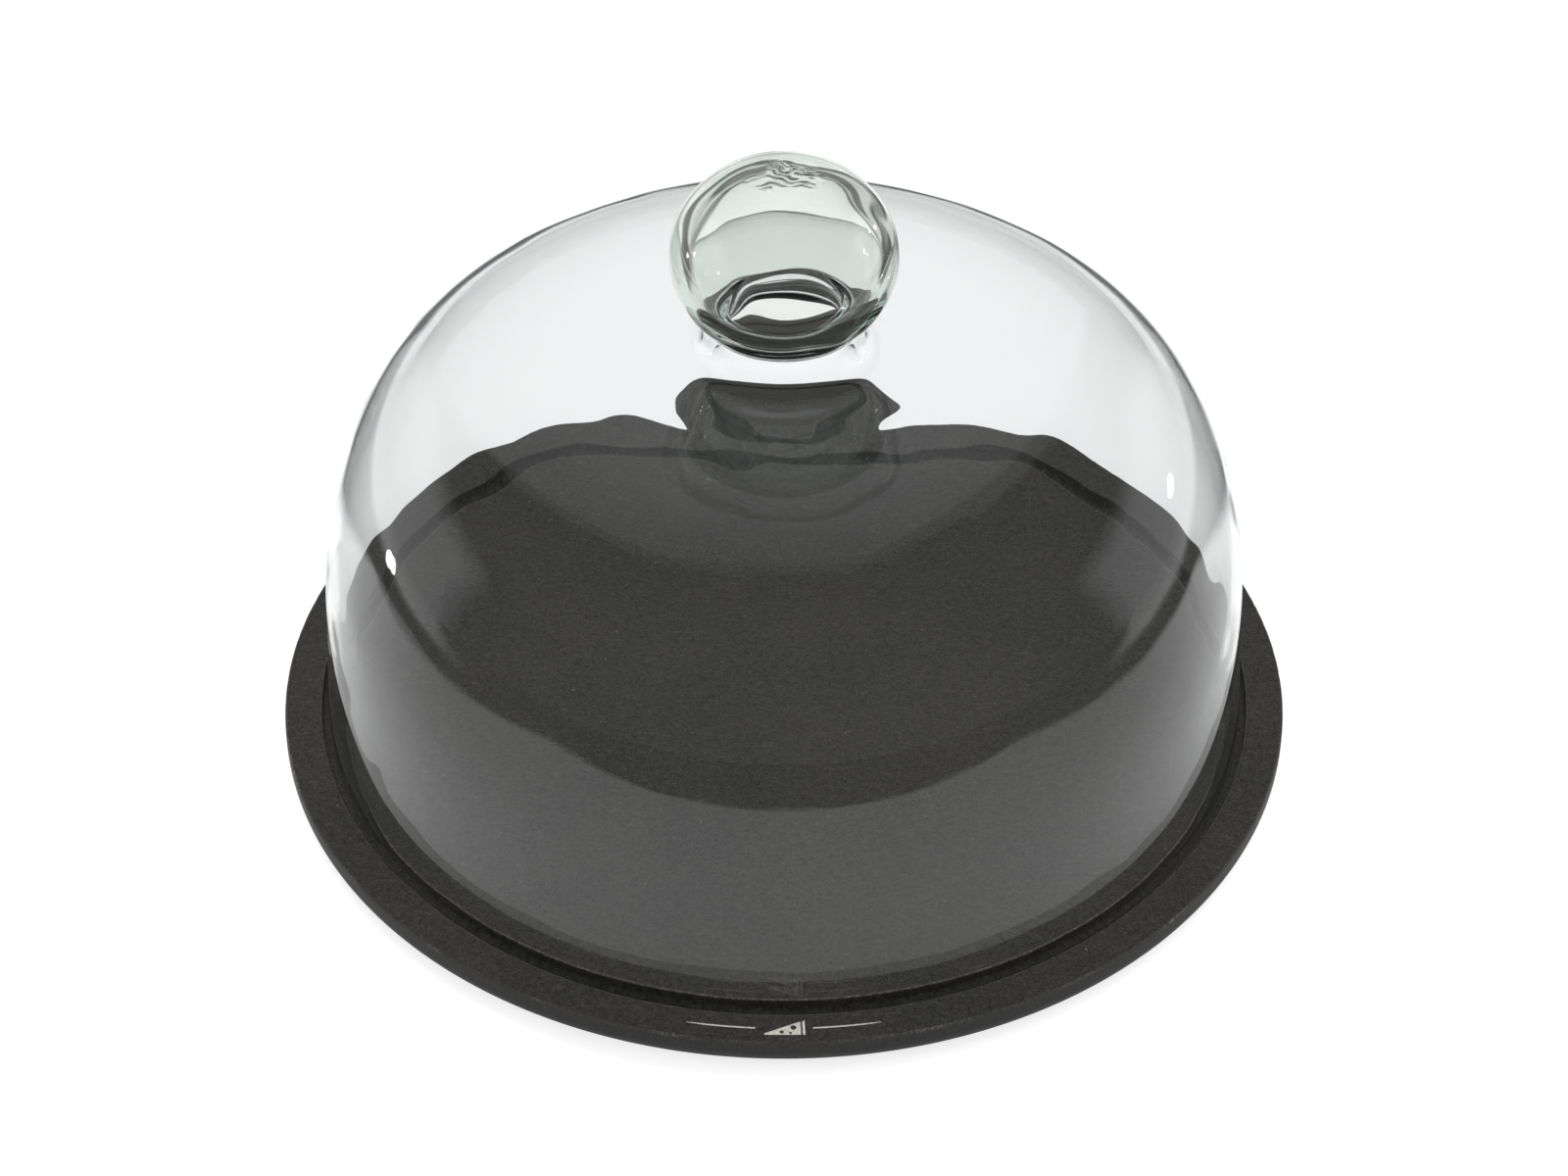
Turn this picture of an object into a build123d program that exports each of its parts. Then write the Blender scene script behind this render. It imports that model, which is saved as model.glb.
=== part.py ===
from build123d import *
import math
import os

# Cheese dome: a round fibre board with a ring groove, and a blown glass cover
# (thin bell with a hollow neck, and a thick-walled hollow ball as its knob).
# Frame: origin at the centre of the board's underside, +Z up. Millimetres.
# Each piece is a section drawn as (radius, z) on the XZ plane, turned about Z.

# ---- board ------------------------------------------------------------------
BOARD_R = 150.0
BOARD_T = 10.0
BOARD_TOP_EDGE_R = 0.6     # small radius on the top edge
BOARD_LOWER_EDGE_R = 6.5   # large radius on the lower edge
GROOVE_R_IN = 132.45       # inner wall of the ring groove
GROOVE_R_OUT = 138.95      # outer wall of the ring groove
GROOVE_DEPTH = 3.5
GROOVE_FLOOR_R = 1.2       # radius in the groove's two bottom corners
GROOVE_LIP_R = 0.4         # radius on the groove's two top edges

# ---- bell and neck ----------------------------------------------------------
SEAT_Z = BOARD_T - GROOVE_DEPTH   # the rim stands on the groove's floor
RIM_WALL = 3.0             # bell wall at the rim
GLASS_WALL = 5.3           # wall of the neck and of the ball
NECK_R = 21.8              # outer radius of the neck where the ball is joined
NECK_BORE_R = NECK_R - GLASS_WALL
NECK_FOOT_R = 37.0         # end of the bell's curved top, outside the flare
NECK_OUTER_FLARE = 7.0     # radius of the flare outside
NECK_INNER_FLARE = 12.6    # radius of the flare inside, about the same centre
FLARE_RISE = 0.15          # climb from the end of the bell's top to each flare

# Outer profile of the bell from above the rim to the top, as
# (radius, height above the rim, wall thickness).
BELL = [
    (136.95, 5.0, 2.9),
    (136.1, 20.0, 2.7),
    (135.1, 40.0, 2.6),
    (133.9, 60.0, 2.6),
    (132.4, 70.0, 2.6),
    (130.0, 79.6, 2.6),
    (126.7, 88.9, 2.6),
    (122.5, 97.7, 2.7),
    (117.1, 106.0, 2.8),
    (110.4, 113.2, 2.9),
    (102.2, 119.2, 3.0),
    (92.6, 123.5, 3.2),
    (80.0, 126.6, 3.4),
    (66.0, 128.5, 3.95),
    (52.0, 129.5, 4.85),
    (NECK_FOOT_R, 130.2, 5.9),
]
WALL_UP = (0, 1)           # spline direction at the foot of the bell's wall
TOP_SLOPE = 0.02           # climb per unit inwards at the end of the bell's top

# ---- ball -------------------------------------------------------------------
BALL_HALF_WIDTH = 32.1
BALL_HALF_HEIGHT = 27.7
CAVITY_HALF_WIDTH = BALL_HALF_WIDTH - GLASS_WALL
CAVITY_HALF_HEIGHT = BALL_HALF_HEIGHT - GLASS_WALL
BALL_Z = SEAT_Z + 161.0    # the ball's centre
MERIDIAN_SPANS = 12        # steps between the spline points of a meridian

# joint plane of neck and ball: where the ball's outside comes in to the neck
JOINT_Z = BALL_Z - BALL_HALF_HEIGHT * math.sqrt(1 - (NECK_R / BALL_HALF_WIDTH) ** 2)


# ---- helpers ----------------------------------------------------------------
def round_corner(start, corner, end):
    """Quarter circle from start to end, rounding off a square corner."""
    start, corner, end = Vector(start), Vector(corner), Vector(end)
    centre = start + end - corner
    ThreePointArc(start, centre + (corner - centre) * math.sqrt(0.5), end)


def turn(section):
    """Solid of revolution of a finished section about Z."""
    return revolve(section.sketch, axis=Axis.Z, revolution_arc=360).solid()


# ---- pieces -----------------------------------------------------------------
def make_board():
    floor = SEAT_Z
    # section from the axis round to the axis, as (radius, z, corner radius)
    corners = [
        (0, 0, 0),
        (BOARD_R, 0, BOARD_LOWER_EDGE_R),
        (BOARD_R, BOARD_T, BOARD_TOP_EDGE_R),
        (GROOVE_R_OUT, BOARD_T, GROOVE_LIP_R),
        (GROOVE_R_OUT, floor, GROOVE_FLOOR_R),
        (GROOVE_R_IN, floor, GROOVE_FLOOR_R),
        (GROOVE_R_IN, BOARD_T, GROOVE_LIP_R),
        (0, BOARD_T, 0),
    ]
    points = [Vector(r, z) for r, z, _ in corners]
    with BuildSketch(Plane.XZ) as section:
        with BuildLine():
            last = points[0]
            for i in range(1, len(corners) - 1):
                corner, radius = points[i], corners[i][2]
                start = corner + (points[i - 1] - corner).normalized() * radius
                end = corner + (points[i + 1] - corner).normalized() * radius
                Line(last, start)
                round_corner(start, corner, end)
                last = end
            Line(last, points[-1])
            Line(points[-1], points[0])
        make_face()
    return turn(section)


def bell_inner_point(i):
    """(radius, z) on the inner surface opposite BELL[i], along the local normal."""
    r0, z0, _ = BELL[max(i - 1, 0)]
    r1, z1, _ = BELL[min(i + 1, len(BELL) - 1)]
    r, height, wall = BELL[i]
    dr, dz = r1 - r0, z1 - z0
    length = math.hypot(dr, dz)
    # the profile climbs and runs inwards, so the inward normal is (-dz, dr)
    return (r - wall * dz / length, SEAT_Z + height + wall * dr / length)


def flare_points(neck_r, flare_r, foot_z):
    """Outer end, square corner and upper end of a flare below the neck."""
    z = foot_z + FLARE_RISE
    return (neck_r + flare_r, z), (neck_r, z), (neck_r, z + flare_r)


def make_bell():
    outer = [(r, SEAT_Z + height) for r, height, _ in BELL]
    inner = [bell_inner_point(i) for i in range(len(BELL))]
    rim_r = outer[0][0]
    half_wall = RIM_WALL / 2
    rim_z = SEAT_Z + half_wall
    in_start, in_corner, in_end = flare_points(
        NECK_BORE_R, NECK_INNER_FLARE, inner[-1][1])
    out_start, out_corner, out_end = flare_points(
        NECK_R, NECK_OUTER_FLARE, outer[-1][1])

    with BuildSketch(Plane.XZ) as section:
        with BuildLine():
            # rim: a full round, fire-polished
            Line(outer[0], (rim_r, rim_z))
            ThreePointArc(
                (rim_r, rim_z), (rim_r - half_wall, SEAT_Z), (rim_r - RIM_WALL, rim_z))
            Line((rim_r - RIM_WALL, rim_z), inner[0])
            # inside: wall, shoulder and top, then up into the neck's bore
            Spline(*inner, tangents=[WALL_UP, (-1, TOP_SLOPE)])
            Line(inner[-1], in_start)
            round_corner(in_start, in_corner, in_end)
            Line(in_end, (NECK_BORE_R, JOINT_Z))
            # joint plane
            Line((NECK_BORE_R, JOINT_Z), (NECK_R, JOINT_Z))
            # outside: neck and its flare, then top, shoulder and wall
            Line((NECK_R, JOINT_Z), out_end)
            round_corner(out_end, out_corner, out_start)
            Line(out_start, outer[-1])
            Spline(*reversed(outer), tangents=[(1, -TOP_SLOPE), (0, -1)])
        make_face()
    return turn(section)


def draw_meridian(half_width, half_height, start_r):
    """Draw half an ellipse's outline, from start_r on its lower half up to its
    pole, and return its first and last points."""
    start_angle = -math.acos(start_r / half_width)
    points = []
    for i in range(MERIDIAN_SPANS):
        angle = start_angle + (math.pi / 2 - start_angle) * i / MERIDIAN_SPANS
        points.append((half_width * math.cos(angle),
                       BALL_Z + half_height * math.sin(angle)))
    points.append((0, BALL_Z + half_height))   # exactly on the axis
    start_direction = (-half_width * math.sin(start_angle),
                       half_height * math.cos(start_angle))
    Spline(*points, tangents=[start_direction, (-1, 0)])
    return points[0], points[-1]


def make_ball():
    with BuildSketch(Plane.XZ) as section:
        with BuildLine():
            ball_foot, ball_pole = draw_meridian(
                BALL_HALF_WIDTH, BALL_HALF_HEIGHT, NECK_R)
            cavity_foot, cavity_pole = draw_meridian(
                CAVITY_HALF_WIDTH, CAVITY_HALF_HEIGHT, NECK_BORE_R)
            Line(ball_pole, cavity_pole)
            # the bore runs up through the ball's wall into the cavity
            Line(cavity_foot, (NECK_BORE_R, JOINT_Z))
            Line((NECK_BORE_R, JOINT_Z), ball_foot)
        make_face()
    return turn(section)


# ---- write ------------------------------------------------------------------
os.makedirs("parts", exist_ok=True)

pieces = {
    "serving_board": make_board(),
    "glass_bell": make_bell(),
    "ball_knob": make_ball(),
}
for name, shape in pieces.items():
    shape.label = name
    export_step(shape, f"parts/{name}.step")
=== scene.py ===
"""Cheese dome: a round fibre board with a ring groove (body "board") and a blown
glass cover (body "cover"), made of a bell and a hollow ball fused to its neck.

All pieces are turned about +Z through the origin. The board lies on z = 0, the
bell's rim stands in the groove, and the marked front of the board faces -Y.
Shapes are worked out in millimetres and written in metres; materials and the
studio are in metres.
"""
import math

import bmesh
import bpy
import numpy as np
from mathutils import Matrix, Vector
from mathutils.geometry import tessellate_polygon


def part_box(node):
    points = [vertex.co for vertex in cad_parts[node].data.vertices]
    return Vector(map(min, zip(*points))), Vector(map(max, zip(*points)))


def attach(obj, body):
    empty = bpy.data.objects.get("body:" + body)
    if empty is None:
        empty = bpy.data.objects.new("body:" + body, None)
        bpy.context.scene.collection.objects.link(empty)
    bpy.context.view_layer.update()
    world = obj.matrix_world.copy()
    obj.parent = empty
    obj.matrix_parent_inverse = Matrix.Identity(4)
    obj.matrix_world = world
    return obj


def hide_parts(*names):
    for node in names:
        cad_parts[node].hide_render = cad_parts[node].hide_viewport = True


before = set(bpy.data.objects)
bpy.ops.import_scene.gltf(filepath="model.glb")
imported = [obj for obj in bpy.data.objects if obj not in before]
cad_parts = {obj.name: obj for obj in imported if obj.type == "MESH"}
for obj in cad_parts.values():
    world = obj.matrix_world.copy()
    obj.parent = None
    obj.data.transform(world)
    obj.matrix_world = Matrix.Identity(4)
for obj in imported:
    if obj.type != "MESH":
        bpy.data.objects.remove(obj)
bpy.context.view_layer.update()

# ------------------------------------------------------------------ dimensions
MM = 0.001

_, board_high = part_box("serving_board")
bell_low, bell_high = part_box("glass_bell")
_, ball_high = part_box("ball_knob")

BOARD_R = 150.0 * min(1.0, board_high.x / 0.14995)
BOARD_T = board_high.z / MM
UNDER_ROUND = 6.5                     # radius of the board's lower edge
TOP_ROUND = 0.6                       # radius of its upper edge
GROOVE_IN, GROOVE_OUT = 132.45, 138.95
GROOVE_DEPTH = 3.5
GROOVE_FILLET = 1.2                   # at the groove's floor
GROOVE_LIP = 0.4                      # radius of the groove's two top edges

SEAT = bell_low.z / MM                # the rim stands here, on the groove's floor
JOINT = bell_high.z / MM              # plane where the ball is fused to the neck
NECK_R, BORE_R = 21.8, 16.5
FLARE_ROUND, BORE_ROUND = 7.0, 12.6   # hollow at the neck's foot, round of the bore's mouth
FLARE_RISE = 0.15                     # of both flares' ends over the top's middle
RIM_ROUND = 1.5

BALL_A, BALL_C = 32.1, 27.7           # ball, half-width and half-height
CAVITY_A, CAVITY_C = 26.8, 22.4
BALL_Z = ball_high.z / MM - BALL_C
CREASE_R = 2.1                        # hollow radius between ball and neck
LIP_R = 2.6                           # round where the bore opens into the cavity
SKIN_DROP = 0.10                      # the outer glass skin lies this far inside its curve

BOARD_SEGMENTS, BELL_SEGMENTS, BALL_SEGMENTS = 480, 276, 270

# bell: (radius, height above the rim, wall)
BELL = [
    (136.95, 5.0, 2.9), (136.1, 20.0, 2.7), (135.1, 40.0, 2.6),
    (133.9, 60.0, 2.6), (132.4, 70.0, 2.6), (130.0, 79.6, 2.6),
    (126.7, 88.9, 2.6), (122.5, 97.7, 2.7), (117.1, 106.0, 2.8),
    (110.4, 113.2, 2.9), (102.2, 119.2, 3.0), (92.6, 123.5, 3.2),
    (80.0, 126.6, 3.4), (66.0, 128.5, 3.95), (52.0, 129.5, 4.85),
    (37.0, 130.2, 5.9),
]

# marking, as (along the rim, across it towards the axis)
MARK_R = 144.35                       # circle the marking is centred on
MARK_SUNK, MARK_PROUD = 0.35, 0.012   # below and above the board's top
WEDGE = [(-5.4, -2.5), (4.6, -2.5), (4.6, 2.35), (4.3, 2.45), (-5.4, -2.0)]
RIND = [(5.1, -2.5), (5.8, -2.5), (5.8, 2.85), (5.1, 2.6)]
EYES = [(-0.6, -1.35, 0.62), (2.6, 0.35, 0.85), (1.75, -1.65, 0.42)]   # centre, radius


# ---------------------------------------------------------------------- curves
def cubic(points, step, start_dir, end_dir):
    """Smooth curve through (radius, height, wall) points, sampled about every
    step. The directions hold at its ends; the wall is carried along."""
    knots = np.array(points, float)
    chord = np.linalg.norm(np.diff(knots[:, :2], axis=0), axis=1)
    reach = np.concatenate([[0.0], np.cumsum(chord)])
    span, count = np.diff(reach), len(knots)
    slope = np.diff(knots, axis=0) / span[:, None]
    matrix, right = np.zeros((count, count)), np.zeros_like(knots)
    for i in range(1, count - 1):
        matrix[i, i - 1:i + 2] = span[i], 2 * (span[i - 1] + span[i]), span[i - 1]
        right[i] = 3 * (span[i] * slope[i - 1] + span[i - 1] * slope[i])
    for i, direction in ((0, start_dir), (-1, end_dir)):
        matrix[i, i] = 1.0
        right[i] = slope[i]
        right[i, :2] = np.array(direction, float) / np.hypot(*direction)
    tangent = np.linalg.solve(matrix, right)
    at = np.linspace(0, reach[-1], int(math.ceil(reach[-1] / step)) + 1)
    k = np.clip(np.searchsorted(reach, at, side="right") - 1, 0, count - 2)
    s = ((at - reach[k]) / span[k])[:, None]
    width = span[k][:, None]
    return (
        (2 * s**3 - 3 * s**2 + 1) * knots[k] + (s**3 - 2 * s**2 + s) * width * tangent[k]
        + (-2 * s**3 + 3 * s**2) * knots[k + 1] + (s**3 - s**2) * width * tangent[k + 1]
    )


def arc(centre, radius, start, end, step):
    """Arc between two angles in degrees."""
    count = max(3, int(math.ceil(abs(math.radians(end - start)) * radius / step)) + 1)
    angles = np.radians(np.linspace(start, end, count))
    return np.column_stack([
        centre[0] + radius * np.cos(angles), centre[1] + radius * np.sin(angles)])


def line(start, end, step):
    count = max(2, int(math.ceil(math.dist(start, end) / step)) + 1)
    s = np.linspace(0, 1, count)[:, None]
    return np.array(start) * (1 - s) + np.array(end) * s


def ellipse(half_width, half_height, angles):
    """Points of an ellipse about the ball's centre."""
    return np.column_stack([half_width * np.cos(angles), BALL_Z + half_height * np.sin(angles)])


def angle_from(centre, point):
    return math.degrees(math.atan2(point[1] - centre[1], point[0] - centre[0])) % 360


def join(*parts):
    """One chain from several, without doubled points."""
    points = np.vstack(parts)
    apart = np.linalg.norm(np.diff(points, axis=0), axis=1) > 1e-4
    return points[np.concatenate([[True], apart])]


def normals(chain, closed):
    if closed:
        along = np.roll(chain, -1, 0) - np.roll(chain, 1, 0)
    else:
        along = np.gradient(chain, axis=0)
    along /= np.maximum(np.linalg.norm(along, axis=1, keepdims=True), 1e-12)
    return np.column_stack([along[:, 1], -along[:, 0]])


def smooth(x, start, end):
    """Smooth step from 0 at start to 1 at end."""
    t = np.clip((np.asarray(x, float) - start) / (end - start), 0, 1)
    return t * t * (3 - 2 * t)


def waves(seed, count, shortest, longest, rms):
    """A smooth random field in space: a seeded sum of plane waves, in mm."""
    random = np.random.default_rng(seed)
    headings = random.normal(size=(count, 3))
    headings /= np.linalg.norm(headings, axis=1, keepdims=True)
    lengths = np.exp(random.uniform(math.log(shortest), math.log(longest), count))
    numbers = 2 * math.pi / lengths
    weights = numbers ** -0.8
    weights *= rms * math.sqrt(2.0) / math.sqrt((weights**2).sum())
    phases = random.uniform(0, 2 * math.pi, count)

    def field(points):
        total = np.zeros(len(points))
        for heading, number, weight, phase in zip(headings, numbers, weights, phases):
            total += weight * np.sin(points @ (heading * number) + phase)
        return total

    return field


# ---------------------------------------------------------------------- meshes
def add_object(name, data):
    obj = bpy.data.objects.new(name, data)
    bpy.context.scene.collection.objects.link(obj)
    return obj


def section_area(chain):
    r, z = chain[:, 0], chain[:, 1]
    return abs((r * np.roll(z, -1) - np.roll(r, -1) * z).sum())


def lathe(name, chain, segments, closed, move, materials, seam=None):
    """Turns a chain of (radius, height) about +Z into one closed mesh. A closed
    chain makes a ring; an open one starts and ends on the axis. move(points,
    outward normals, ring index) gives new points. Faces from ring seam to the
    next are flat shaded and take material slot 1."""
    count = len(chain)
    outward = normals(chain, closed)
    # outward: a small step along the normals has to make the section larger
    if section_area(chain + outward * 0.01) < section_area(chain):
        outward = -outward
    turn = np.linspace(0, 2 * math.pi, segments, endpoint=False)

    def spin(pairs):
        return np.stack([
            pairs[:, 0:1] * np.cos(turn), pairs[:, 0:1] * np.sin(turn),
            np.repeat(pairs[:, 1:2], segments, 1)], -1).reshape(-1, 3)

    points = move(spin(chain), spin(outward), np.repeat(np.arange(count), segments))
    grid = np.arange(count * segments).reshape(count, segments)
    quads, slots = [], []
    first, last = (0, count) if closed else (1, count - 2)
    for i in range(first, last):
        here, after = grid[i], grid[(i + 1) % count]
        quads.append(np.column_stack([here, after, np.roll(after, -1), np.roll(here, -1)]))
        slots += [int(i == seam)] * segments
    quads = np.vstack(quads)
    faces = quads.tolist()
    used = np.unique(quads)
    if not closed:
        # one vertex at each pole, in place of its ring
        start_pole, end_pole = len(points), len(points) + 1
        points = np.vstack([points, points[grid[0]].mean(0), points[grid[-1]].mean(0)])
        used = np.concatenate([used, [start_pole, end_pole]])
        start, end = grid[1], grid[-2]
        for j in range(segments):
            k = (j + 1) % segments
            faces.append((start_pole, start[j], start[k]))
            faces.append((end[j], end_pole, end[k]))
            slots += [0, 0]
    index = -np.ones(len(points), int)
    index[used] = np.arange(len(used))
    faces = [tuple(int(index[v]) for v in face) for face in faces]
    points = points[used]
    # outward faces: the volume they close has to be positive
    fans = np.array([(f[0], f[i], f[i + 1]) for f in faces for i in range(1, len(f) - 1)])
    if (points[fans[:, 0]] * np.cross(points[fans[:, 1]], points[fans[:, 2]])).sum() < 0:
        faces = [face[::-1] for face in faces]
    mesh = bpy.data.meshes.new(name)
    mesh.from_pydata((points * MM).tolist(), [], faces)
    slots = np.array(slots, np.int32)
    mesh.polygons.foreach_set("use_smooth", slots == 0)
    obj = add_object(name, mesh)
    for material in materials:
        mesh.materials.append(material)
    mesh.polygons.foreach_set("material_index", slots)
    mesh.update()
    return obj


# ----------------------------------------------------------------- node helpers
class Socket:
    """A node's output. Arithmetic on it adds Math nodes."""

    def __init__(self, nodes, socket):
        self.nodes = nodes
        self.socket = socket

    def output(self, name):
        """Another output of the same node."""
        return Socket(self.nodes, self.socket.node.outputs[name])

    def __add__(self, other):
        return self.nodes.math("ADD", self, other)

    def __radd__(self, other):
        return self.nodes.math("ADD", other, self)

    def __sub__(self, other):
        return self.nodes.math("SUBTRACT", self, other)

    def __rsub__(self, other):
        return self.nodes.math("SUBTRACT", other, self)

    def __mul__(self, other):
        return self.nodes.math("MULTIPLY", self, other)

    def __truediv__(self, other):
        return self.nodes.math("DIVIDE", self, other)


class Nodes:
    """Short hand for building a node tree. Methods return Sockets."""

    def __init__(self, tree):
        self.tree = tree
        tree.nodes.clear()

    def add(self, kind, inputs=None, out=0, **props):
        node = self.tree.nodes.new(kind)
        for key, value in props.items():
            setattr(node, key, value)
        for key, value in (inputs or {}).items():
            if isinstance(value, Socket):
                self.tree.links.new(value.socket, node.inputs[key])
            else:
                node.inputs[key].default_value = value
        return Socket(self, node.outputs[out])

    def math(self, operation, a, b=0.0):
        return self.add("ShaderNodeMath", {0: a, 1: b, 2: 0.0}, operation=operation)

    def vector(self, operation, *terms, out=0, **named):
        inputs = {**dict(enumerate(terms)), **named}
        return self.add("ShaderNodeVectorMath", inputs, out, operation=operation)

    def dot(self, a, b):
        return self.vector("DOT_PRODUCT", a, b, out="Value")

    def ramp(self, x, start, end, low=0.0, high=1.0, shape="SMOOTHSTEP"):
        """low where x is at start, high where it is at end."""
        return self.add("ShaderNodeMapRange", {0: x, 1: start, 2: end, 3: low, 4: high},
                        interpolation_type=shape)

    def noise(self, where, scale, detail=2.0, rough=0.5, out=0):
        return self.add("ShaderNodeTexNoise", {
            "Vector": where, "Scale": scale, "Detail": detail, "Roughness": rough}, out)

    def stretch(self, where, scale, turn=0.0):
        return self.add("ShaderNodeMapping", {
            "Vector": where, "Rotation": (0, 0, turn), "Scale": scale})

    def combine(self, *channels):
        return self.add("ShaderNodeCombineColor", dict(enumerate(channels)))

    def height(self, vector):
        return self.add("ShaderNodeSeparateXYZ", {0: vector}, out=2)

    def mix(self, factor, a, b):
        return self.add("ShaderNodeMix", {0: factor, 6: a, 7: b}, out=2, data_type="RGBA")

    def bump(self, height, strength, distance):
        return self.add("ShaderNodeBump", {
            "Strength": strength, "Distance": distance, "Height": height})

    def light(self, kind, strength, colour=(1, 1, 1, 1)):
        return self.add(kind, {"Color": colour, "Strength": strength})

    def clear(self, colour):
        return self.add("ShaderNodeBsdfTransparent", {"Color": colour})

    def shade(self, factor, a, b):
        return self.add("ShaderNodeMixShader", {0: factor, 1: a, 2: b})

    def place(self):
        return self.add("ShaderNodeTexCoord", out="Object")

    def end(self, surface, kind="ShaderNodeOutputMaterial"):
        self.add_end = self.tree.nodes.new(kind)
        self.tree.links.new(surface.socket, self.add_end.inputs["Surface"])


def new_material(name):
    material = bpy.data.materials.new(name)
    material.use_nodes = True
    return material, Nodes(material.node_tree)


def rgb(*channels):
    """sRGB 0-255 to a linear colour."""
    return (*((c / 255 / 12.92) if c <= 10.31 else ((c / 255 + 0.055) / 1.055) ** 2.4
              for c in channels), 1.0)


# ------------------------------------------------------------------- materials
def glass_material(name, tint, absorb, cord_depth):
    """Clear blown glass. absorb is per metre, for red, green and blue, and acts
    on the length a ray ran inside. Shadow and diffuse rays pass straight through."""
    material, nodes = new_material(name)
    path = nodes.add("ShaderNodeLightPath")
    inside = nodes.add("ShaderNodeNewGeometry", out="Backfacing")
    place = nodes.place()
    longest_run = 0.11
    run = nodes.math("MINIMUM", path.output("Ray Length"), longest_run) * inside
    # the batch's tint is a little uneven through the glass
    cloud = nodes.noise(place, scale=38.0)
    run = run * nodes.ramp(cloud, 0.3, 0.7, low=0.85, high=1.15, shape="LINEAR")
    kept = nodes.combine(*[nodes.math("EXPONENT", run * -rate) for rate in absorb])
    colour = nodes.vector("MULTIPLY", kept, tint)
    # cords: faint streaks drawn out along the axis
    drawn = nodes.stretch(place, scale=(1.0, 1.0, 0.28))
    cords = nodes.bump(nodes.noise(drawn, scale=210.0, detail=1.0),
                       strength=1.0, distance=cord_depth)
    body = nodes.add("ShaderNodeBsdfGlass", {
        "Color": colour, "Roughness": 0.0, "IOR": 1.52, "Normal": cords})
    clear = nodes.clear((0.95, 0.955, 0.952, 1))
    surface = nodes.shade(path.output("Is Shadow Ray"), body, clear)
    nodes.end(nodes.shade(path.output("Is Diffuse Ray"), surface, clear))
    return material


def seam_material():
    """The plane inside the glass where ball and neck are fused: nothing shows."""
    material, nodes = new_material("fused_seam")
    nodes.end(nodes.clear((1, 1, 1, 1)))
    return material


# bands of radius and height on the board, as (0 at, 1 at) in metres
SIDE_BAND = (0.1488, 0.1499)
RIM_BAND, RIM_HIGH = (0.14925, 0.14955), (0.00905, 0.00945)
# groove lips: fades in, fades out, height
INNER_LIP = ((0.13202, 0.13216), (0.13252, 0.13244), (0.0093, 0.0097))
OUTER_LIP = ((0.13890, 0.13898), (0.13945, 0.13930), (0.0094, 0.0098))


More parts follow.
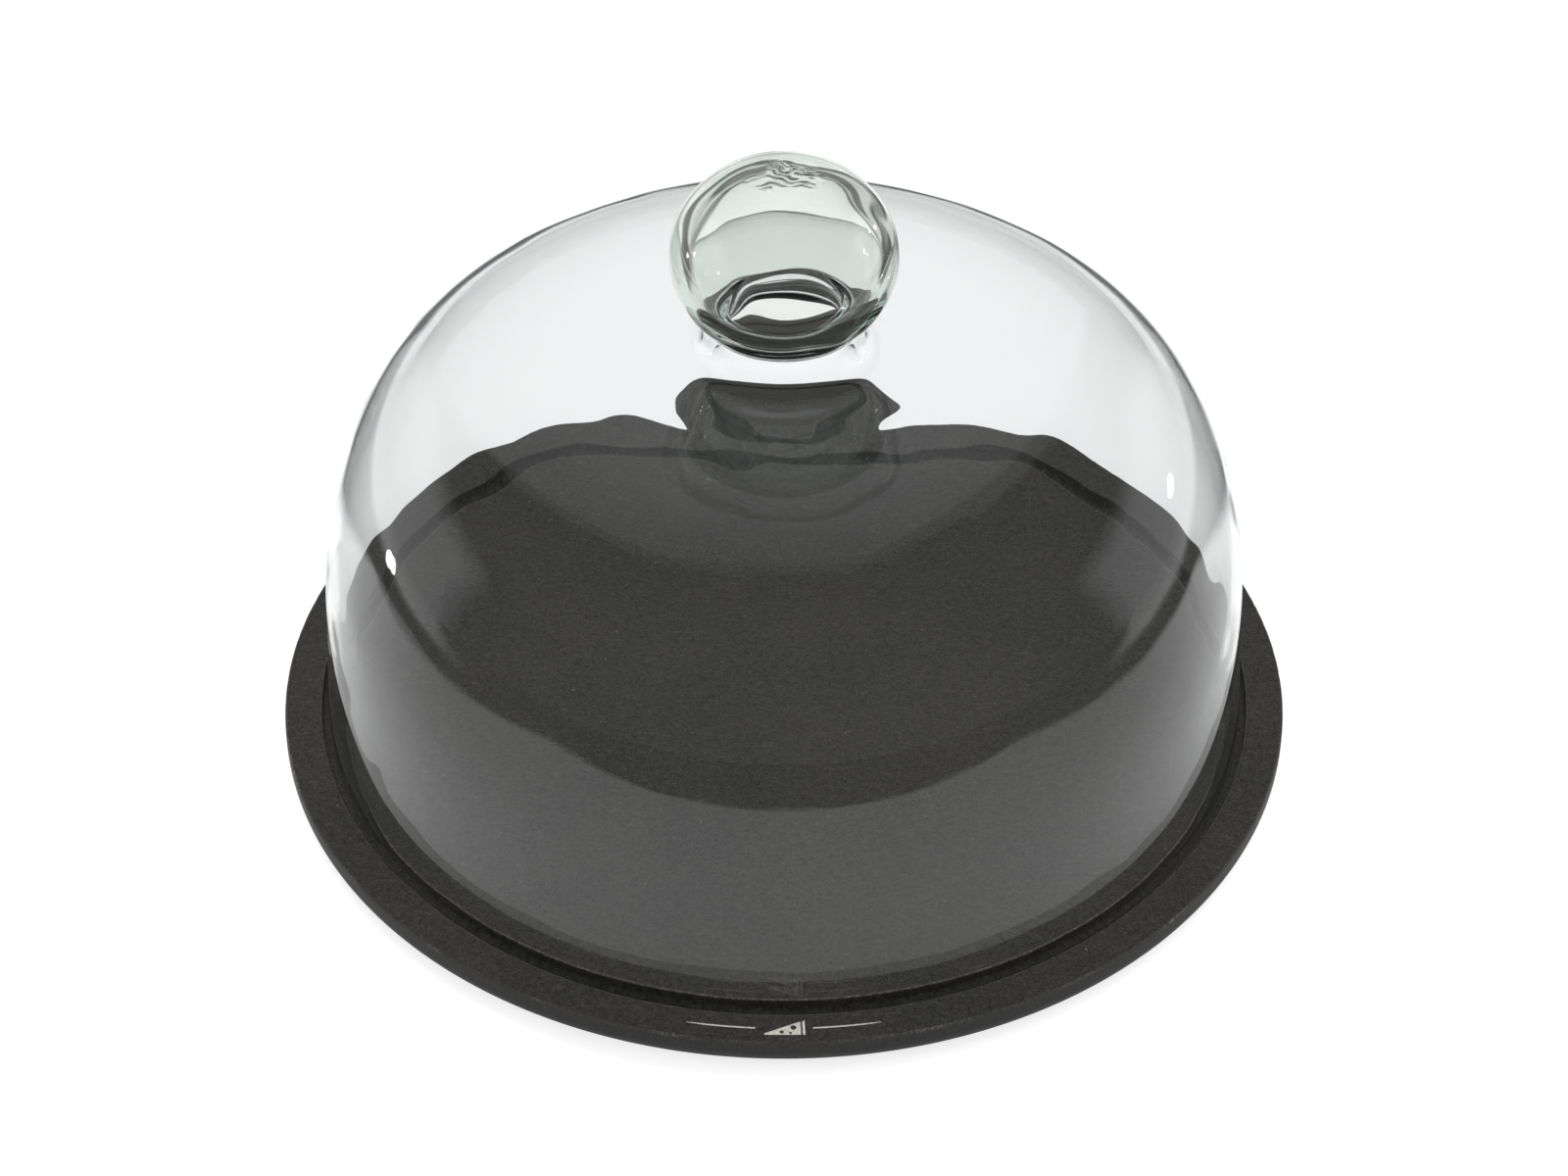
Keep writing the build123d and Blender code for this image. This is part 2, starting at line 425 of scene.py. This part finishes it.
def board_material():
    """Dark fibre composite: pressed fibres in resin, matte, with pale specks."""
    material, nodes = new_material("fibre_composite")
    place = nodes.place()
    x = nodes.add("ShaderNodeSeparateXYZ", {0: place})
    y, z = x.output("Y"), x.output("Z")
    radius = nodes.math("SQRT", x * x + y * y)
    fine = nodes.noise(place, scale=1500.0, rough=0.6)
    grain = nodes.noise(place, scale=620.0, detail=3.0, rough=0.65)
    blotch = nodes.noise(place, scale=26.0, detail=3.0, rough=0.6)
    # two layers of fibres, laid in different directions on a warped place
    warp = nodes.vector("MULTIPLY_ADD", nodes.noise(place, scale=90.0, out="Color"),
                        (0.006, 0.006, 0.006), place)
    layers = []
    for turn, scale, start, end in ((0.35, 900.0, 0.60, 0.78), (1.75, 820.0, 0.61, 0.80)):
        strands = nodes.stretch(warp, scale=(0.32, 1.5, 1.0), turn=turn)
        layers.append(nodes.ramp(nodes.noise(strands, scale, detail=1.0), start, end))
    fibres = nodes.math("MAXIMUM", *layers)
    tone = (fine - 0.5) * 2.1 + (grain - 0.5) * 1.5 + (blotch - 0.5) * 0.34 + fibres * 0.5
    # the side's grain is smoother and more even than the faces'; further down the side is also
    # painted a touch darker and cooler, as painted shade
    side = nodes.ramp(radius, *SIDE_BAND)
    tone = tone * (1.0 + side * -0.55)
    value = nodes.math("MAXIMUM", 0.96 + tone, 0.25)
    base = nodes.mix(nodes.ramp(blotch, 0.35, 0.65),
                     (0.0246, 0.0235, 0.0219, 1), (0.0258, 0.0240, 0.0217, 1))
    colour = nodes.vector("SCALE", base, Scale=value)
    # pale specks of bare fibre, in the few cells whose random colour is high
    cell = nodes.add("ShaderNodeTexVoronoi", {"Scale": 330.0, "Vector": place}, "Distance")
    chosen = nodes.add("ShaderNodeSeparateColor", {0: cell.output("Color")})
    speck = nodes.ramp(cell, 0.16, 0.06) * nodes.ramp(chosen, 0.955, 0.965)
    colour = nodes.mix(speck * 0.55, colour, rgb(126, 121, 112))
    # worn edges: the rim's top edge and the groove's lips have lost skin in flecks; the rim's top
    # edge and the groove's inner lip also get an even pale line, a painted highlight
    rim = nodes.ramp(radius, *RIM_BAND) * nodes.ramp(z, *RIM_HIGH)
    inner_lip, outer_lip = (
        nodes.ramp(radius, *rise) * nodes.ramp(radius, *fall) * nodes.ramp(z, *high)
        for rise, fall, high in (INNER_LIP, OUTER_LIP))
    fleck = nodes.ramp(nodes.noise(place, scale=1100.0, detail=3.0, rough=0.7), 0.44, 0.62)
    along = nodes.ramp(nodes.noise(place, scale=34.0, rough=0.6), 0.44, 0.68)
    # painted highlight: the even terms, 0.05 on the rim's top edge and 0.10 on the groove's inner
    # lip, paint a pale line; the flecks are wear
    wear_and_edge_highlight = rim * (fleck * (0.08 + along * 0.5) + 0.05)
    wear_and_edge_highlight = wear_and_edge_highlight + inner_lip * (fleck * 0.30 + 0.10)
    wear_and_edge_highlight = wear_and_edge_highlight + outer_lip * (fleck * 0.12)
    # the pale colour carries both the wear flecks and the painted highlight lines
    colour = nodes.mix(wear_and_edge_highlight, colour, rgb(150, 144, 134))
    # painted shade: the side is painted a touch darker and cooler than the faces
    colour = nodes.mix(side * 0.35, colour, (0.0185, 0.0187, 0.0195, 1))
    relief = fine * 0.45 + (grain * 0.55 + fibres * 0.35)
    nodes.end(nodes.add("ShaderNodeBsdfPrincipled", {
        "Base Color": colour,
        "Roughness": 0.53 + (grain - 0.5) * 0.22 + side * -0.08 + wear_and_edge_highlight * 0.2,
        "Normal": nodes.bump(relief, strength=0.55, distance=0.00006),
        "IOR": 1.5,
        "Specular IOR Level": nodes.math("MAXIMUM", 0.42 + tone * 0.32, 0.1)}))
    return material


def print_material():
    """Pale grey marking on the rim: dull, with the board's grain in it."""
    material, nodes = new_material("burnt_marking")
    place = nodes.place()
    fleck = nodes.ramp(nodes.noise(place, scale=1300.0, detail=3.0, rough=0.7), 0.30, 0.52)
    grain = nodes.noise(place, scale=1500.0)
    nodes.end(nodes.add("ShaderNodeBsdfPrincipled", {
        "Base Color": nodes.mix(fleck, rgb(112, 110, 105), rgb(178, 176, 169)),
        "Roughness": 0.6 + fleck * 0.2,
        "Normal": nodes.bump(grain, strength=0.4, distance=0.00004),
        "Specular IOR Level": 0.3}))
    return material


GLASS_BELL = glass_material("clear_blown_glass", tint=(0.997, 0.999, 0.999),
                            absorb=(3.2, 1.7, 1.9), cord_depth=0.0000006)
GLASS_BALL = glass_material("green_tint_glass", tint=(0.988, 0.993, 0.987),
                            absorb=(10.0, 6.8, 9.6), cord_depth=0.0000008)
SEAM = seam_material()
BOARD = board_material()
PRINT = print_material()


# ----------------------------------------------------------------------- board
def board_chain():
    """Section from the middle of the underside, round the rim, to the middle of the top."""
    under = BOARD_R - UNDER_ROUND
    edge, edge_z = BOARD_R - TOP_ROUND, BOARD_T - TOP_ROUND
    lip_out, lip_in = GROOVE_OUT + GROOVE_LIP, GROOVE_IN - GROOVE_LIP
    lip_z = BOARD_T - GROOVE_LIP
    floor = BOARD_T - GROOVE_DEPTH
    fillet_out, fillet_in = GROOVE_OUT - GROOVE_FILLET, GROOVE_IN + GROOVE_FILLET
    fillet_z = floor + GROOVE_FILLET
    return join(
        line((0, 0), (under - 2, 0), 12),
        line((under - 2, 0), (under, 0), 1),
        arc((under, UNDER_ROUND), UNDER_ROUND, -90, 0, 0.35),
        line((BOARD_R, UNDER_ROUND), (BOARD_R, edge_z), 0.7),
        arc((edge, edge_z), TOP_ROUND, 0, 90, 0.07),
        line((edge, BOARD_T), (edge - 0.5, BOARD_T), 0.25),
        line((edge - 0.5, BOARD_T), (lip_out + 0.5, BOARD_T), 1.5),
        line((lip_out + 0.5, BOARD_T), (lip_out, BOARD_T), 0.25),
        arc((lip_out, lip_z), GROOVE_LIP, 90, 180, 0.06),
        line((GROOVE_OUT, lip_z), (GROOVE_OUT, fillet_z), 0.4),
        arc((fillet_out, fillet_z), GROOVE_FILLET, 0, -90, 0.12),
        line((fillet_out, floor), (fillet_in, floor), 0.7),
        arc((fillet_in, fillet_z), GROOVE_FILLET, -90, -180, 0.12),
        line((GROOVE_IN, fillet_z), (GROOVE_IN, lip_z), 0.4),
        arc((lip_in, lip_z), GROOVE_LIP, 0, 90, 0.06),
        line((lip_in, BOARD_T), (lip_in - 0.5, BOARD_T), 0.25),
        line((lip_in - 0.5, BOARD_T), (GROOVE_IN - 6, BOARD_T), 2),
        line((GROOVE_IN - 6, BOARD_T), (0, BOARD_T), 12))


def make_board():
    nick = waves(5, 40, shortest=1.6, longest=9.0, rms=1.0)
    dish = waves(6, 12, shortest=40.0, longest=160.0, rms=1.0)

    def move(points, outward, ring):
        r, z = np.hypot(points[:, 0], points[:, 1]), points[:, 2]
        # the top edge is rubbed down unevenly, and the groove's inner lip has small nicks
        edge = smooth(r, BOARD_R - 1.1, BOARD_R - 0.45) * smooth(z, BOARD_T - 1.1, BOARD_T - 0.45)
        lip = np.exp(-((r - GROOVE_IN) / 0.45) ** 2) * smooth(z, BOARD_T - 0.8, BOARD_T - 0.2)
        bite = np.maximum(nick(points), 0)
        depth = edge * (0.035 + 0.05 * bite) + lip * 0.03 * bite
        # the top face is flat to a few hundredths only
        top = smooth(z, BOARD_T - 0.02, BOARD_T) * smooth(r, 0.5, 12)
        depth += 0.02 * (1 + 0.4 * dish(points)) * top
        return points - outward * depth[:, None]

    return lathe("fibre_board", board_chain(), BOARD_SEGMENTS, False, move, [BOARD])


# -------------------------------------------------------------------- markings
def circle(x, y, radius, count=20):
    angles = [2 * math.pi * i / count for i in range(count)]
    return [(x + radius * math.cos(a), y + radius * math.sin(a)) for a in angles]


def fine_arc(side):
    """Outline of the line beside the wedge; its last quarter tapers."""
    steps, taper_from = 40, 30
    start, length = 8.0, 19.0
    half, taper = 0.24, 0.17
    stations = []
    for i in range(steps + 1):
        thinner = taper * max(i - taper_from, 0) / (steps - taper_from)
        stations.append((side * (start + length * i / steps), half - thinner))
    return [(x, -h) for x, h in stations] + [(x, h) for x, h in stations[::-1]]


def doubled_area(a, b, c):
    return (b[0] - a[0]) * (c[1] - a[1]) - (b[1] - a[1]) * (c[0] - a[0])


def make_marking():
    """A small wedge of cheese between two fine arcs, on the front of the rim."""
    # each group is an outline and its holes
    groups = [[WEDGE, *(circle(*eye) for eye in EYES)], [RIND], [fine_arc(-1)], [fine_arc(1)]]
    verts, faces = [], []

    def place(along, across, z):
        angle = -math.pi / 2 + along / MARK_R
        radius = MARK_R - across
        return radius * math.cos(angle), radius * math.sin(angle), z

    for loops in groups:
        flat = [point for loop in loops for point in loop]
        base, count = len(verts), len(flat)
        for z in (BOARD_T + MARK_PROUD, BOARD_T - MARK_SUNK):
            verts += [place(*point, z) for point in flat]
        for tri in tessellate_polygon([[Vector((*p, 0)) for p in loop] for loop in loops]):
            if doubled_area(*(flat[i] for i in tri)) < 0:
                tri = tri[::-1]
            faces.append([base + i for i in tri])
            faces.append([base + count + i for i in tri[::-1]])
        start = base
        for loop in loops:
            for i in range(len(loop)):
                a, b = start + i, start + (i + 1) % len(loop)
                faces.append([a, b, count + b, count + a])
            start += len(loop)
    mesh = bpy.data.meshes.new("rim_marking")
    mesh.from_pydata([[c * MM for c in v] for v in verts], [], faces)
    bm = bmesh.new()
    bm.from_mesh(mesh)
    bmesh.ops.recalc_face_normals(bm, faces=bm.faces)
    bm.to_mesh(mesh)
    bm.free()
    mesh.materials.append(PRINT)
    return add_object("rim_marking", mesh)


# ----------------------------------------------------------------- glass cover
def tangent_circle(line_r, radius, half_width, half_height, low, high):
    """A circle that touches the upright line r = line_r and the ellipse, both
    from outside. Gives its centre's height, between low and high, and the
    ellipse's angle and point where they touch."""
    angles = np.linspace(-math.pi / 2, 0.2, 6000)
    curve = ellipse(half_width, half_height, angles)

    def distances(z):
        return np.hypot(curve[:, 0] - (line_r + radius), curve[:, 1] - z)

    for _ in range(60):
        middle = (low + high) / 2
        if distances(middle).min() > radius:
            low = middle
        else:
            high = middle
    z = (low + high) / 2
    touch = int(distances(z).argmin())
    return z, angles[touch], curve[touch]


# the crease between ball and neck, outside
crease_z, crease_angle, crease_touch = tangent_circle(
    NECK_R, CREASE_R, BALL_A, BALL_C, JOINT - 6, BALL_Z - 12)
CREASE = (NECK_R + CREASE_R, crease_z)
JOINT_IN_CREASE = abs(JOINT - crease_z) < CREASE_R
SEAM_R = NECK_R
if JOINT_IN_CREASE:
    SEAM_R = CREASE[0] - math.sqrt(CREASE_R**2 - (JOINT - crease_z) ** 2)
SEAM_ANGLE = angle_from(CREASE, (SEAM_R, JOINT))


def bell_chain():
    """Section from the joint down the outside, round the rim and up the inside."""
    outer = cubic([(r, height + SEAT, wall) for r, height, wall in reversed(BELL)],
                  step=1.9, start_dir=(1, -0.02), end_dir=(0, -1))
    outer, wall = outer[:, :2], outer[:, 2:3]
    inner = (outer + normals(outer, False) * wall)[::-1]
    top = np.array([(SEAM_R, JOINT)])
    if JOINT_IN_CREASE:
        top = arc(CREASE, CREASE_R, SEAM_ANGLE, 180, 0.2)
    flare = (NECK_R + FLARE_ROUND, outer[0, 1] + FLARE_RISE)
    flare_z = flare[1] + FLARE_ROUND
    bore = (BORE_R + BORE_ROUND, inner[-1, 1] + FLARE_RISE)
    bore_z = bore[1] + BORE_ROUND
    rim = (outer[-1, 0], SEAT + RIM_ROUND)
    rim_arc = arc((rim[0] - RIM_ROUND, rim[1]), RIM_ROUND, 0, -180, 0.16)
    return join(
        top,
        line((NECK_R, min(JOINT, crease_z)), (NECK_R, flare_z), 0.5),
        arc((flare[0], flare_z), FLARE_ROUND, 180, 270, 0.45),
        line(flare, outer[0], 1.0),
        outer,
        line(outer[-1], rim, 0.5),
        rim_arc,
        line(rim_arc[-1], inner[0], 0.5),
        inner,
        line(inner[-1], bore, 1.0),
        arc((bore[0], bore_z), BORE_ROUND, 270, 180, 0.5),
        line((BORE_R, bore_z), (BORE_R, JOINT), 0.5))


def soften(chain):
    """Evens out the places where straight, arc and spline meet, away from joint
    and rim; most turns act on the neck's foot only, so it flows into the top."""
    for turn in range(60):
        middle = (chain[:-2] + chain[2:]) / 2
        r, z = chain[1:-1, 0], chain[1:-1, 1]
        weight = smooth(z, JOINT - 1.5, JOINT - 3.5) * smooth(z, SEAT + 4.0, SEAT + 7.0)
        if turn >= 3:
            weight = weight * smooth(r, 44.0, 38.0)
        chain[1:-1] += weight[:, None] * 0.5 * (middle - chain[1:-1])


def make_bell():
    chain = bell_chain()
    soften(chain)
    lowest = int(chain[:, 1].argmin())
    skin = waves(11, 34, shortest=16.0, longest=60.0, rms=0.014)
    skin_in = waves(12, 44, shortest=11.0, longest=42.0, rms=0.020)
    slow = waves(13, 8, shortest=130.0, longest=260.0, rms=0.10)
    rim_wave = waves(14, 26, shortest=9.0, longest=30.0, rms=0.05)

    def move(points, outward, ring):
        outside = ring <= lowest
        r, z = np.hypot(points[:, 0], points[:, 1]), points[:, 2]
        # nothing moves at the joint and, away from the neck, at the rim
        hold = smooth(z, JOINT, JOINT - 4.0)
        hold = np.where(r < 40, hold, hold * smooth(z, SEAT + 1.0, SEAT + 9.0))
        offset = np.where(outside, skin(points) - SKIN_DROP, skin_in(points) + slow(points))
        moved = points + outward * (offset * hold)[:, None]
        # a faint unevenness of the rim's inside, none where it stands
        low = smooth(z, SEAT + 9, SEAT + 2.5) * (~outside) * smooth(z, SEAT + 0.6, SEAT + 1.6)
        return moved + outward * (rim_wave(points) * low)[:, None]

    return lathe("bell_glass", chain, BELL_SEGMENTS, True, move, [GLASS_BELL, SEAM],
                 seam=len(chain) - 1)


def ball_chains():
    """Sections from the top down to the joint, and from there up round the cavity."""
    outer = ellipse(BALL_A, BALL_C, np.linspace(math.pi / 2, crease_angle, 190))
    outer[0, 0] = 0.0
    # cavity height above the bore's wall, where there is no lip
    foot = BALL_Z - CAVITY_C * math.sqrt(1 - (BORE_R / CAVITY_A) ** 2)
    lip_z, lip_angle, lip_touch = tangent_circle(
        BORE_R, LIP_R, CAVITY_A, CAVITY_C, foot - 6, foot + 1.5)
    lip = (BORE_R + LIP_R, lip_z)
    cavity = ellipse(CAVITY_A, CAVITY_C, np.linspace(lip_angle, math.pi / 2, 150))
    cavity[-1, 0] = 0.0
    down = join(outer, arc(CREASE, CREASE_R, angle_from(CREASE, crease_touch), SEAM_ANGLE, 0.2))
    up = join(line((BORE_R, JOINT), (BORE_R, lip_z), 0.4),
              arc(lip, LIP_R, 180.0, angle_from(lip, lip_touch), 0.2), cavity)
    return down, up


def make_ball():
    down, up = ball_chains()
    seam = len(down) - 1
    skin = waves(21, 30, shortest=11.0, longest=34.0, rms=0.035)
    skin_in = waves(22, 44, shortest=12.0, longest=42.0, rms=0.13)
    ripple = waves(23, 30, shortest=3.0, longest=9.0, rms=1.0)
    patch = waves(24, 20, shortest=7.0, longest=18.0, rms=1.0)

    def move(points, outward, ring):
        outside = ring <= seam
        x, y, z = points.T
        # chill wrinkles in a shallow dip on the very top
        near_top = smooth(np.hypot(x - 0.5, (y + 1.0) * 1.15), 12.0, 6.0)
        winding = y + 1.4 * np.sin(x / 3.3) + 0.9 * ripple(points)
        bands = np.sin(2 * math.pi * winding / 2.6)
        wrinkles = near_top * (0.13 * bands * smooth(patch(points), -0.9, 0.8) - 0.14)
        # the outside never rises over its curve
        offset = np.where(outside, np.minimum(skin(points) - SKIN_DROP + wrinkles, 0.0),
                          skin_in(points))
        hold = smooth(z, JOINT + 0.3, JOINT + 4.0)
        moved = points + outward * (offset * hold)[:, None]
        # the cavity sits a little off the ball's centre
        shift = smooth(z, JOINT + 2.0, BALL_Z) * (~outside)
        moved[:, 0] += 0.45 * shift
        moved[:, 1] -= 0.30 * shift
        return moved

    return lathe("ball_glass", np.vstack([down, up]), BALL_SEGMENTS, False, move,
                 [GLASS_BALL, SEAM], seam=seam)


board = make_board()
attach(board, "board")
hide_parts("serving_board")

marking = make_marking()
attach(marking, "board")

bell = make_bell()
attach(bell, "cover")
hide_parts("glass_bell")

ball = make_ball()
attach(ball, "cover")
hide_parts("ball_knob")

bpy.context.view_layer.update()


# ---------------------------------------------------------------------- studio
# lamps the glass mirrors: direction (right, ahead, up), half-angle, strength
LAMPS = (((-0.93, 0.34, -0.12), 1.7, 14.0), ((0.83, 0.52, 0.12), 1.6, 14.0))


def change_space(nodes, vector, source, target):
    return nodes.add("ShaderNodeVectorTransform", {0: vector}, vector_type="VECTOR",
                     convert_from=source, convert_to=target)


def level_frame(nodes):
    """The camera's right and its level forward direction, in the world."""
    right = change_space(nodes, (1.0, 0.0, 0.0), "CAMERA", "WORLD")
    return right, nodes.vector("CROSS_PRODUCT", (0, 0, 1), right)


def lamps(nodes, direction, right, ahead):
    """Two small studio lamps, low at the left and the right behind the object."""
    sideways, forward = nodes.dot(direction, right), nodes.dot(direction, ahead)
    up = nodes.height(direction)
    glows = []
    for aim, degrees, strength in LAMPS:
        aim = Vector(aim).normalized()
        facing = sideways * aim.x + forward * aim.y + up * aim.z
        edge, fade = (math.cos(math.radians(angle)) for angle in (degrees, degrees * 1.2))
        glows.append(nodes.ramp(facing, fade, edge) * strength)
    return glows[0] + glows[1]


def view_cone(nodes, direction):
    """1 where a ray still runs about as the camera looks, 0 where it is bent away."""
    seen = nodes.vector("NORMALIZE", change_space(nodes, direction, "WORLD", "CAMERA"))
    # in camera space z points away from the camera
    return nodes.ramp(nodes.dot(seen, (0.0, 0.0, 1.0)), 0.88, 0.93)


def table_material():
    """Pale table: plain to the camera, with dark parts where the glass mirrors it."""
    material, nodes = new_material("pale_table")
    path = nodes.add("ShaderNodeLightPath")
    camera_ray = path.output("Is Camera Ray")
    place = nodes.add("ShaderNodeNewGeometry", out="Position")
    right, ahead = level_frame(nodes)
    along = nodes.dot(place, ahead)
    across = nodes.math("ABSOLUTE", nodes.dot(place, right))
    # the lit table ends in front of the cover and at its sides
    table = nodes.ramp(along, -0.405, -0.385) * nodes.ramp(along, 1.0, 0.8)
    table = table * nodes.ramp(across, 0.50, 0.42)
    table = table * nodes.ramp(along, -0.14, 0.16, low=0.50, high=0.84)
    # dark cards stand at the left and the right, behind the object's middle
    cards = nodes.ramp(across, 0.155, 0.185) * nodes.ramp(along, 0.10, 0.15)
    table = table * (1.0 - cards)
    # far off to the sides the studio's pale walls stand on the dark floor
    far = nodes.vector("LENGTH", place, out="Value")
    walls = nodes.ramp(far, 0.65, 1.0, high=0.56) * nodes.ramp(across, 0.25, 0.50)
    table = nodes.math("MAXIMUM", table, 0.07 + walls * nodes.ramp(along, -0.3, 0.0))
    # full brightness for the camera, nearly so for rays the glass hardly bends
    heading = nodes.vector("SCALE", place.output("Incoming"), Scale=-1.0)
    level = nodes.math("MAXIMUM", table, view_cone(nodes, heading) * 0.84)
    level = nodes.math("MAXIMUM", level, camera_ray)
    lit = nodes.add("ShaderNodeBsdfDiffuse", {
        "Color": nodes.combine(level * 0.34, level * 0.34, level * 0.345)})
    # away from the middle, low lamps are seen by rays that leave sideways
    low = lamps(nodes, heading, right, ahead) * (1.0 - camera_ray)
    glow = nodes.light("ShaderNodeEmission", level * 0.76 + low * nodes.ramp(far, 0.35, 0.6))
    both = nodes.add("ShaderNodeAddShader", {0: lit, 1: glow})
    even = nodes.light("ShaderNodeEmission", 0.9)
    nodes.end(nodes.shade(path.output("Is Diffuse Ray"), both, even))
    return material


def make_floor():
    mesh = bpy.data.meshes.new("studio_floor")
    half, z = 9.0, -0.0002
    corners = [(-half, -half, z), (half, -half, z), (half, half, z), (-half, half, z)]
    mesh.from_pydata(corners, [], [(0, 1, 2, 3)])
    mesh.materials.append(table_material())
    add_object("studio_floor", mesh)


def make_world():
    """A dark room with soft lights for the glass, white behind for the camera."""
    world = bpy.data.worlds.new("studio")
    bpy.context.scene.world = world
    world.use_nodes = True
    nodes = Nodes(world.node_tree)
    path = nodes.add("ShaderNodeLightPath")
    direction = nodes.add("ShaderNodeTexCoord", out="Generated")
    right, ahead = level_frame(nodes)
    sideways, forward = nodes.dot(direction, right), nodes.dot(direction, ahead)
    up = nodes.height(direction)
    level = nodes.ramp(forward, -1.0, 0.6, low=0.15, high=0.06)
    # side and rise are slopes, on an upright plane ahead of the camera
    deep = nodes.math("MAXIMUM", forward, 0.02)
    side, rise = sideways / deep, up / deep
    # a large soft light above and behind the object, weaker towards its top
    soft = nodes.ramp(side, -0.71, -0.67) * nodes.ramp(side, 0.40, 0.36)
    soft = soft * (nodes.ramp(rise, 0.35, 0.38) * nodes.ramp(rise, 3.6, 2.6))
    soft = soft * nodes.ramp(forward, 0.03, 0.06)
    # the table's far sweep, below that light
    sweep = nodes.ramp(nodes.math("ABSOLUTE", side), 0.62, 0.40) * nodes.ramp(forward, 0.3, 0.5)
    level = level + sweep * nodes.ramp(rise, 0.42, 0.30, high=0.15)
    level = level + soft * nodes.ramp(rise, 0.3, 2.4, low=0.36, high=0.22)
    # pale walls left and right
    walls = nodes.ramp(nodes.math("ABSOLUTE", sideways), 0.42, 0.62) * (
        nodes.ramp(up, 0.60, 0.35) * nodes.ramp(forward, -0.2, 0.1))
    level = nodes.math("MAXIMUM", level, walls * 0.62)
    level = level + lamps(nodes, direction, right, ahead)
    level = nodes.math("MAXIMUM", level, view_cone(nodes, direction) * 1.0)
    background = "ShaderNodeBackground"
    seen = nodes.light(background, level, colour=(0.985, 0.992, 1, 1))
    wide = nodes.light(background, nodes.ramp(up, 0.0, 0.9, low=0.50, high=1.0))
    white = nodes.light(background, 1.06)
    surface = nodes.shade(path.output("Is Diffuse Ray"), seen, wide)
    surface = nodes.shade(path.output("Is Camera Ray"), surface, white)
    nodes.end(surface, "ShaderNodeOutputWorld")


def softbox(name, place, size, power):
    """Area light aimed at the origin, which glass and camera don't see."""
    light = bpy.data.lights.new(name, "AREA")
    light.shape = "RECTANGLE"
    light.size, light.size_y = size
    light.energy = power
    obj = add_object(name, light)
    obj.location = place
    obj.rotation_euler = (-Vector(place)).to_track_quat("-Z", "Y").to_euler()
    obj.visible_glossy = False
    obj.visible_transmission = False
    obj.visible_camera = False


def make_camera():
    """Looks down from the front, at a point a little above the board's middle."""
    elevation, distance, raised = math.radians(39.94), 1.249, 0.0285
    camera = bpy.data.cameras.new("camera")
    camera.lens, camera.sensor_width = 95.0, 36.0
    camera.clip_start, camera.clip_end = 0.02, 60.0
    obj = add_object("camera", camera)
    back = Vector((0, -math.cos(elevation), math.sin(elevation)))
    picture_up = Vector((0, math.sin(elevation), math.cos(elevation)))
    target = Vector((0, 0, BOARD_T * MM)) + picture_up * raised
    obj.location = target + back * distance
    obj.rotation_mode = "QUATERNION"
    obj.rotation_quaternion = (-back).to_track_quat("-Z", "Y")
    bpy.context.scene.camera = obj


def set_render():
    view = bpy.context.scene.view_settings
    view.view_transform = "Standard"
    view.look = "None"
    view.exposure = 0.0
    cycles = bpy.context.scene.cycles
    cycles.max_bounces = 28
    cycles.transmission_bounces = 24
    cycles.glossy_bounces = 20
    cycles.diffuse_bounces = 3
    cycles.transparent_max_bounces = 28
    cycles.caustics_reflective = False
    cycles.caustics_refractive = False
    cycles.sample_clamp_indirect = 12.0
    cycles.use_denoising = True


make_floor()
make_world()
softbox("key", place=(-0.75, 0.85, 1.35), size=(0.9, 0.7), power=16)
softbox("fill", place=(0.95, 0.4, 1.15), size=(0.9, 0.9), power=9)
make_camera()
set_render()
